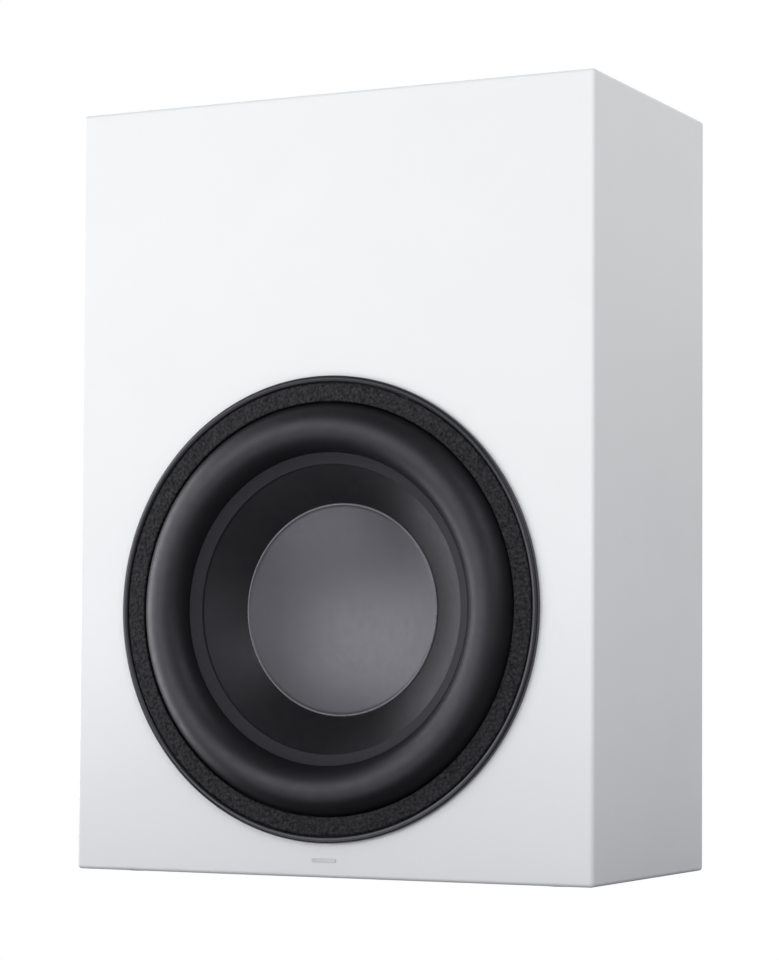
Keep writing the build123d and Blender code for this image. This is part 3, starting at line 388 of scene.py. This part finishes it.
# ------------------------------------------------------------------ driver: the turned pieces in front
def trim_outline():
    """A flat ring with rounded edges and a slightly domed front, standing on the baffle."""
    inner, back, front = trim_radius - TRIM_WIDTH, trim_high.y - front_y, trim_low.y - front_y
    shoulder = front + TRIM_ROUND
    corner = 0.3 * TRIM_ROUND
    crown = front + TRIM_CROWN
    outline = [(inner, back), (inner, shoulder)]
    outline += arc((inner, shoulder), (inner + corner, front + corner), (inner + TRIM_ROUND, crown), 6)
    outline += arc(outline[-1], ((inner + trim_radius) / 2, front), (trim_radius - TRIM_ROUND, crown), 8)
    outline += arc(outline[-1], (trim_radius - corner, front + corner), (trim_radius, shoulder), 6)
    return outline + [(trim_radius, back)]


new_piece("trim_bead", turned("trim_bead", trim_outline()), "cabinet", ["trim_ring"])
dress("trim_bead", satin_black())


def foam_mesh():
    """A foam ring whose front and edges are grainy: seeded noise moves the points of a fine grid."""
    steps, across = 1500, 22
    front, back = foam_low.y - front_y, foam_high.y - front_y
    edge = FOAM_EDGE
    section = [(foam_inner, back), (foam_inner, (front + back) / 2)]
    corner = [(foam_inner, front + 2 * edge), (foam_inner, front), (foam_inner + 3 * edge, front)]
    section += rounded(corner, edge, 3)[4:8]
    inside, outside = foam_inner + 1.6 * edge, foam_radius - 1.6 * edge
    section += [(inside + (outside - inside) * i / across, front) for i in range(across + 1)]
    section += [(foam_radius - 0.5 * edge, front + 0.15 * edge), (foam_radius, front + 0.7 * edge)]
    section += [(foam_radius, (front + back) / 2), (foam_radius, back)]
    mesh = turned("foam_band", section, steps)
    for vertex in mesh.vertices:
        depth = vertex.co.y - front_y
        if depth < back - 0.3 * MM:
            crinkle = noise.fractal(vertex.co * 420, 0.7, 2.1, 3) + 0.8 * noise.noise(vertex.co * 900)
            vertex.co.y += FOAM_GRAIN * max(-1, min(crinkle, 1)) + 0.1 * MM
    return mesh


new_piece("foam_band", foam_mesh(), "cabinet", ["foam_ring"])
dress("foam_band", foam())


# ------------------------------------------------------------------ driver: cone, cap and suspension
def cone_outline():
    """The cone's wall, with rounded edges."""
    rim, neck = cone_radius, former_radius
    corners = [
        (rim, cone_face(rim)),
        (neck, cone_face(neck)),
        (neck, cone_face(neck) + cone_back),
        (rim, cone_face(rim) + cone_back),
    ]
    return rounded(corners, 0.3 * MM, 3)


new_piece("cone_shell", turned("cone_shell", cone_outline()), "cone_assembly", ["cone"])
dress("cone_shell", cone_finish())


def cap_outline():
    """A hollow cap with a thin raised bead round its edge, glued to the cone."""
    edge = cone_face(cap_radius)
    rim = cap_radius - 2 * CAP_BEAD
    crease = edge - 0.6 * CAP_BEAD
    deep = cap_high.y - front_y - CAP_WALL - crease
    curve = (rim * rim + deep * deep) / (2 * deep)
    centre = crease + deep - curve

    def hollow(radius, wall=0.0):
        return centre + math.sqrt((curve + wall) ** 2 - radius**2)

    outline = [(cap_radius, edge)]
    outline += arc((cap_radius, edge), (cap_radius - CAP_BEAD, edge - CAP_BEAD), (rim, crease), 10)
    rings = 40
    outline += [(rim * (1 - i / rings), hollow(rim * (1 - i / rings))) for i in range(1, rings + 1)]
    outline += [(rim * i / rings, hollow(rim * i / rings, CAP_WALL)) for i in range(rings + 1)]
    return outline + [(rim + 0.2 * MM, cone_face(rim + 0.2 * MM))]


def second_finish(piece, finish, inner, outer):
    """Gives the faces between two radii another finish."""
    piece.data.materials.append(finish.material)
    for polygon in piece.data.polygons:
        if inner < math.hypot(polygon.center.x, polygon.center.z - axis_z) < outer:
            polygon.material_index = 1


cap = new_piece("cap_shell", turned("cap_shell", cap_outline()), "cone_assembly", ["dust_cap"])
dress("cap_shell", cap_finish())
# Painted highlight: the bead round the cap's edge gets a lighter grey than the cap, which stands in for the
# thin light line that its edge catches
painted_highlight_bead = Finish("cap_edge_painted_highlight", grey(0.14), 0.34, specular=0.9, sheen=COOL_SHEEN)
painted_highlight_bead.rough(painted_highlight_bead.noise(8 * MM, 3), 0.24, 0.4)
second_finish(cap, painted_highlight_bead, cap_radius - 1.8 * CAP_BEAD, cap_radius)


def surround_outline():
    """A half roll with a flat outer lip, a crease, and an inner lip that lies on the cone."""
    seat = surround_high.x
    lip_front = RUBBER / math.cos(math.atan(cone_slope))
    lip_end = roll_inner - CONE_LIP
    top = surround_low.y - front_y
    middle = (roll_outer + roll_inner) / 2
    outer, inner = (roll_outer, SEAT_DEPTH), (roll_inner, cone_face(roll_inner) - lip_front + CREASE)
    lip_start = roll_inner - 0.9 * CREASE
    outline = [(seat, SEAT_DEPTH), outer]
    outline += arc(outer, (middle, top), inner, 60)
    crease_middle = (roll_inner - 0.5 * CREASE, inner[1] - 0.3 * CREASE)
    outline += arc(inner, crease_middle, (lip_start, cone_face(lip_start) - lip_front), 4)
    shoulder = lip_end + LIP_ROUND
    lip_face = cone_face(shoulder) - lip_front
    outline += [(shoulder, lip_face)]
    edge_middle = (lip_end + 0.3 * LIP_ROUND, lip_face + 0.35 * MM)
    outline += arc((shoulder, lip_face), edge_middle, (lip_end, lip_face + 1.1 * MM), 6)
    outline += [(lip_end, cone_face(lip_end))]
    outline += [(cone_radius, cone_face(cone_radius)), (cone_radius + 0.6 * MM, cone_face(cone_radius))]
    outline += arc(outline[-1], (middle, top + RUBBER), (roll_outer - RUBBER, SEAT_DEPTH + RUBBER), 60)
    return outline + [(seat, SEAT_DEPTH + RUBBER)]


roll = new_piece("surround_roll", turned("surround_roll", surround_outline()), replaces=["surround"])
dress("surround_roll", rubber())
second_finish(roll, lip_rubber(), 0, roll_inner - 0.2 * MM)
bend_with_cone(roll)

SPIDER_WALL = 0.6 * MM
SPIDER_COLLAR = 2.5 * MM
SPIDER_CLAMP = 12 * MM
SPIDER_WAVES = 8
spider_edge = spider_high.x
waves_start, waves_end = former_radius + SPIDER_COLLAR, spider_edge - SPIDER_CLAMP - 1.5 * MM


def spider_outline():
    """Half waves between a collar on the former and a flat rim on the frame's shelf."""
    middle = (spider_low.y + spider_high.y) / 2 - front_y
    swing = (spider_high.y - spider_low.y - SPIDER_WALL) / 2
    steps = SPIDER_WAVES * 12

    def line(offset):
        line_points = [(former_radius, middle + offset)]
        for step in range(steps + 1):
            wave = math.sin(math.pi * SPIDER_WAVES * step / steps)
            radius = waves_start + (waves_end - waves_start) * step / steps
            line_points.append((radius, middle + offset + swing * wave))
        return line_points + [(spider_edge, middle + offset)]

    return line(-SPIDER_WALL / 2) + line(SPIDER_WALL / 2)[::-1]


spider = new_piece("spider_cloth", turned("spider_cloth", spider_outline(), 160), replaces=["spider"])
weave = fibrous("resin_dipped_weave", (0.45, 0.27, 0.07), 0.5 * MM, 0.1 * MM)
weave.bump(weave.cells(0.9 * MM, "SMOOTH_F1"), 0.1 * MM)
dress("spider_cloth", weave)
bend_with_cone(spider)


def copy_of(node, name):
    """A new mesh with the shape of a CAD node."""
    mesh = nodes[node].data.copy()
    mesh.name = name
    smooth(mesh)
    return mesh


tinsel = new_piece("tinsel_pair", copy_of("tinsel_leads", "tinsel_pair"), replaces=["tinsel_leads"])
braid = metal("tinned_braid", (0.62, 0.58, 0.5), 0.4)
braid.bump(braid.cells(0.35 * MM), 0.12 * MM)
dress("tinsel_pair", braid)
bend_with_cone(tinsel)

# ------------------------------------------------------------------ driver: frame and motor
powder = Finish("black_powder_coat", grey(0.014), 0.5, specular=0.5)
powder.rough(powder.noise(3 * MM), 0.42, 0.58).bump(powder.noise(0.7 * MM, 3), 0.05 * MM)
dress("basket", powder)
dress("driver_gasket amp_gasket", moulded("closed_cell_gasket", grey(0.02), 0.85, 0.2))
dress("driver_screws amp_screws", metal("blackened_screws", (0.12, 0.12, 0.125), 0.34))
dress("flanged_inserts motor_screws transformer_bolt", metal("zinc_plated_steel", (0.6, 0.6, 0.56), 0.32))
dress("top_plate pole_yoke", metal("passivated_steel", (0.07, 0.07, 0.075), 0.42))
ferrite = Finish("ground_ferrite", grey(0.035), 0.6, specular=0.45)
ferrite.mottle(ferrite.noise(2 * MM, 5), grey(0.055)).bump(ferrite.noise(0.5 * MM, 3), 0.03 * MM)
dress("magnets", ferrite)
dress("shorting_ring", metal("turned_aluminium", (0.72, 0.72, 0.74), 0.25))
dress("magnet_boot", moulded("moulded_boot_rubber", grey(0.018), 0.6, 0.05))
dress("terminal_block", moulded("moulded_terminal", grey(0.02), 0.5))
dress("voice_coil_former", metal("rolled_foil", (0.62, 0.6, 0.56), 0.3))
dress("voice_coil", metal("enamelled_copper", (0.62, 0.2, 0.07), 0.28, (0.2, 6, 0.2)))
dress("damping_felt", fibrous("needled_felt", grey(0.1)))


def fleece_mesh():
    """A lumpy block of fleece inside the space of its CAD solid."""
    low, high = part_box("polyester_wadding")
    form = bmesh.new()
    middle, half = (low + high) / 2, (high - low) / 2
    place_and_size = Matrix.Translation(middle) @ Matrix.Diagonal((*(high - low), 1))
    bmesh.ops.create_cube(form, size=1, matrix=place_and_size)
    bmesh.ops.subdivide_edges(form, edges=form.edges, cuts=30, use_grid_fill=True)
    for vertex in form.verts:
        place = Vector((p - m) / h for p, m, h in zip(vertex.co, middle, half))
        round_off = 1 - 0.07 * sum(abs(v) ** 6 for v in place)
        lump = 0.02 * noise.noise(vertex.co * 30) + 0.012 * noise.noise(vertex.co * 90)
        vertex.co = middle + (vertex.co - middle) * (min(round_off, 0.97) + lump)
    mesh = bpy.data.meshes.new("fleece_block")
    form.to_mesh(mesh)
    form.free()
    mesh.shade_smooth()
    return mesh


new_piece("fleece_block", fleece_mesh(), "cabinet", ["polyester_wadding"])
dress("fleece_block", fibrous("polyester_fleece", grey(0.75), 4 * MM, 1.5 * MM))

# ------------------------------------------------------------------ amplifier
dress("amp_plate", anodised("blasted_black_plate", (0.05, 0.05, 0.054)))
extruded = anodised("extruded_black_heatsink", (0.06, 0.06, 0.064))
extruded.bump(extruded.noise(0.6 * MM, 2, (1, 1, 0.04)), 0.02 * MM)
dress("heatsink", extruded)
dress("amp_chassis mode_switch_body transistor_clamp", metal("galvanised_sheet", (0.55, 0.56, 0.58), 0.35))
tape = Finish("wound_polyester_tape", (0.6, 0.42, 0.05), 0.3, coat=0.3)
tape.mottle(tape.noise(6 * MM, 3), (0.5, 0.34, 0.04)).bump(tape.noise(3 * MM, 2, (1, 0.1, 1)), 0.3 * MM)
dress("toroid_transformer", tape)
laminate = Finish("green_circuit_board", (0.012, 0.11, 0.045), 0.35, coat=0.4)
laminate.mottle(laminate.noise(2.5 * MM, 0), (0.02, 0.15, 0.06)).bump(laminate.noise(1.2 * MM, 0), 0.03 * MM)
dress("main_board control_board", laminate)
dress("board_standoffs", metal("turned_brass", (0.7, 0.5, 0.2), 0.25))
dress("filter_capacitors", moulded("capacitor_sleeve", (0.015, 0.02, 0.06), 0.25, 0.01))
dress("output_transistors", moulded("device_epoxy", grey(0.02), 0.55))
dress("pot_bodies", moulded("pot_housing", (0.04, 0.09, 0.13), 0.45))
dress("gain_knob crossover_knob phase_knob", moulded("fluted_knob", grey(0.035), 0.42))
dress("socket_shells", metal("gold_flash", (0.83, 0.6, 0.22), 0.2))
dress("inlet_pins", metal("nickel_plate", (0.66, 0.62, 0.54), 0.25))
dress("socket_insulators", moulded("socket_insert", (0.7, 0.7, 0.68), 0.35, 0.01))
dress("mains_inlet rocker_frame", moulded("inlet_moulding", grey(0.028), 0.42))
dress("fuse_drawer mode_slider mains_rocker", moulded("switch_moulding", grey(0.042), 0.38))
dress("internal_wiring", moulded("wire_sheath", (0.25, 0.012, 0.012), 0.4, 0.01))
lens = Finish("diffusing_lens", (0.5, 0.75, 0.6), 0.25)
lens.set("Transmission Weight", 0.6).bump(lens.noise(1 * MM), 0.03 * MM)
dress("status_lens", lens)
fuse = Finish("fuse_tube", (0.8, 0.82, 0.82), 0.08)
fuse.set("Transmission Weight", 0.7).mottle(fuse.noise(2 * MM, 2, (1, 0.1, 1)), (0.6, 0.6, 0.58))
dress("mains_fuse", fuse)

# Printed marks round each knob: short dashes from one end of its turn to the other
KNOB_TURN = 150
MARK_COUNT = 11
MARK_WIDTH = 0.45 * MM
LONG_MARK, SHORT_MARK = 2.6 * MM, 1.6 * MM
MARK_GAP = 1.4 * MM
INK_THICKNESS = 0.06 * MM
plate_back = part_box("amp_plate")[1].y


def knob_marks(knob):
    """Dashes in a thin layer of ink on the plate."""
    low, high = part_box(knob)
    middle, radius = (low + high) / 2, (high.x - low.x) / 2
    form = bmesh.new()
    for index in range(MARK_COUNT):
        turn = math.radians(-KNOB_TURN + 2 * KNOB_TURN * index / (MARK_COUNT - 1))
        length = LONG_MARK if index in (0, MARK_COUNT // 2, MARK_COUNT - 1) else SHORT_MARK
        size = Matrix.Diagonal((MARK_WIDTH, INK_THICKNESS, length, 1))
        out = Matrix.Translation((0, 0, radius + MARK_GAP + length / 2))
        spin = Matrix.Rotation(turn, 4, "Y")
        place = Matrix.Translation((middle.x, plate_back + INK_THICKNESS / 2, middle.z))
        bmesh.ops.create_cube(form, size=1, matrix=place @ spin @ out @ size)
    mesh = bpy.data.meshes.new(knob + "_marks")
    form.to_mesh(mesh)
    form.free()
    return mesh


ink = Finish("printed_ink", grey(0.7), 0.6)
ink.mottle(ink.noise(0.5 * MM), grey(0.6))
for knob in ("gain_knob", "crossover_knob", "phase_knob"):
    new_piece(knob + "_marks", knob_marks(knob), "cabinet")
    dress(knob + "_marks", ink)

# ------------------------------------------------------------------ light and camera
MAT_RADIUS = 0.4
mat_mesh = bpy.data.meshes.new("dark_mat")
form = bmesh.new()
bmesh.ops.create_circle(form, cap_ends=True, radius=MAT_RADIUS, segments=128)
form.to_mesh(mat_mesh)
form.free()
mat = bpy.data.objects.new("dark_mat", mat_mesh)
bpy.context.scene.collection.objects.link(mat)
mat.visible_camera = False  # it only holds back soft light from below
mat.visible_glossy = False
dress("dark_mat", Finish("dark_cloth", grey(0.42), 0.9, specular=0.1))


LIGHT_DISTANCE = 3.0
LIGHT_TARGET = Vector((0, 0, 0.25))


def around(azimuth, elevation):
    """A light's place round the driver: azimuth 0 is straight in front, and positive is towards +X."""
    turn, lift = math.radians(azimuth), math.radians(elevation)
    flat = LIGHT_DISTANCE * math.cos(lift)
    return Vector((flat * math.sin(turn), -flat * math.cos(turn), axis_z + LIGHT_DISTANCE * math.sin(lift)))


def soft_light(name, place, width, height, power):
    """A rectangular studio light."""
    data = bpy.data.lights.new(name, "AREA")
    data.shape = "RECTANGLE"
    data.size, data.size_y = width, height
    data.energy = power
    light = bpy.data.objects.new(name, data)
    light.location = place
    light.rotation_euler = (place - LIGHT_TARGET).to_track_quat("Z", "Y").to_euler()
    bpy.context.scene.collection.objects.link(light)
    return light


wall = soft_light("left_wall", around(-95, 2), 2.8, 3.3, 106)
wall.visible_diffuse = False  # it shows as a streak in the satin parts and leaves the white side unlit
soft_light("front_left", around(-36, 10), 2.7, 1.6, 27)
soft_light("front_right", around(16, 3), 2.4, 1.5, 6)
soft_light("high_right", around(40, 30), 1.2, 1.2, 8)
soft_light("low_front", around(-20, -24), 2.0, 1.0, 8)
soft_light("back_left", around(172, 25), 2.2, 1.6, 10)
soft_light("back_right", around(-150, 35), 1.6, 1.6, 9)

world = bpy.data.worlds.new("studio")
world.use_nodes = True
bpy.context.scene.world = world
tree = world.node_tree
path = tree.nodes.new("ShaderNodeLightPath")


def glow(color, strength):
    """An even background of one colour."""
    node = tree.nodes.new("ShaderNodeBackground")
    node.inputs["Color"].default_value = (*color, 1)
    node.inputs["Strength"].default_value = strength
    return node.outputs["Background"]


def either(ray, shown, otherwise):
    """One background for a kind of ray, and another for the rest."""
    mixer = tree.nodes.new("ShaderNodeMixShader")
    tree.links.new(path.outputs[ray], mixer.inputs["Fac"])
    tree.links.new(otherwise, mixer.inputs[1])
    tree.links.new(shown, mixer.inputs[2])
    return mixer.outputs["Shader"]


# White behind the object, soft light all round it, and a dark room in its reflections
room = either("Is Glossy Ray", glow((0.95, 0.96, 1.0), 0.06), glow((0.97, 0.985, 1.0), 0.7))
studio = either("Is Camera Ray", glow((1, 1, 1), 1), room)
tree.links.new(studio, tree.nodes["World Output"].inputs["Surface"])
bpy.context.scene.view_settings.view_transform = "Standard"

# The camera looks from the right of the front and slightly upwards
YAW, PITCH, ROLL = (math.radians(angle) for angle in (26.246, -2.08, 0.284))
DISTANCE = 1.9302
SIDE_STEP = 0.0423
AIM_HEIGHT = 0.1982
LENS = 109.6
SENSOR_WIDTH = 36
SHIFT_UP = 0.10
back = Vector((math.sin(YAW) * math.cos(PITCH), -math.cos(YAW) * math.cos(PITCH), math.sin(PITCH)))
right = Vector((math.cos(YAW), math.sin(YAW), 0))
up = back.cross(right)
rolled_right = right * math.cos(ROLL) + up * math.sin(ROLL)
rolled_up = up * math.cos(ROLL) - right * math.sin(ROLL)
aim = Vector((0, front_y, baffle_low.z + AIM_HEIGHT))
camera_data = bpy.data.cameras.new("camera")
camera_data.lens = LENS
camera_data.sensor_width = SENSOR_WIDTH
camera_data.shift_y = SHIFT_UP
camera = bpy.data.objects.new("camera", camera_data)
turn = Matrix((rolled_right, rolled_up, back)).transposed().to_4x4()
camera.matrix_world = Matrix.Translation(aim + back * DISTANCE + right * SIDE_STEP) @ turn
bpy.context.scene.collection.objects.link(camera)
bpy.context.scene.camera = camera
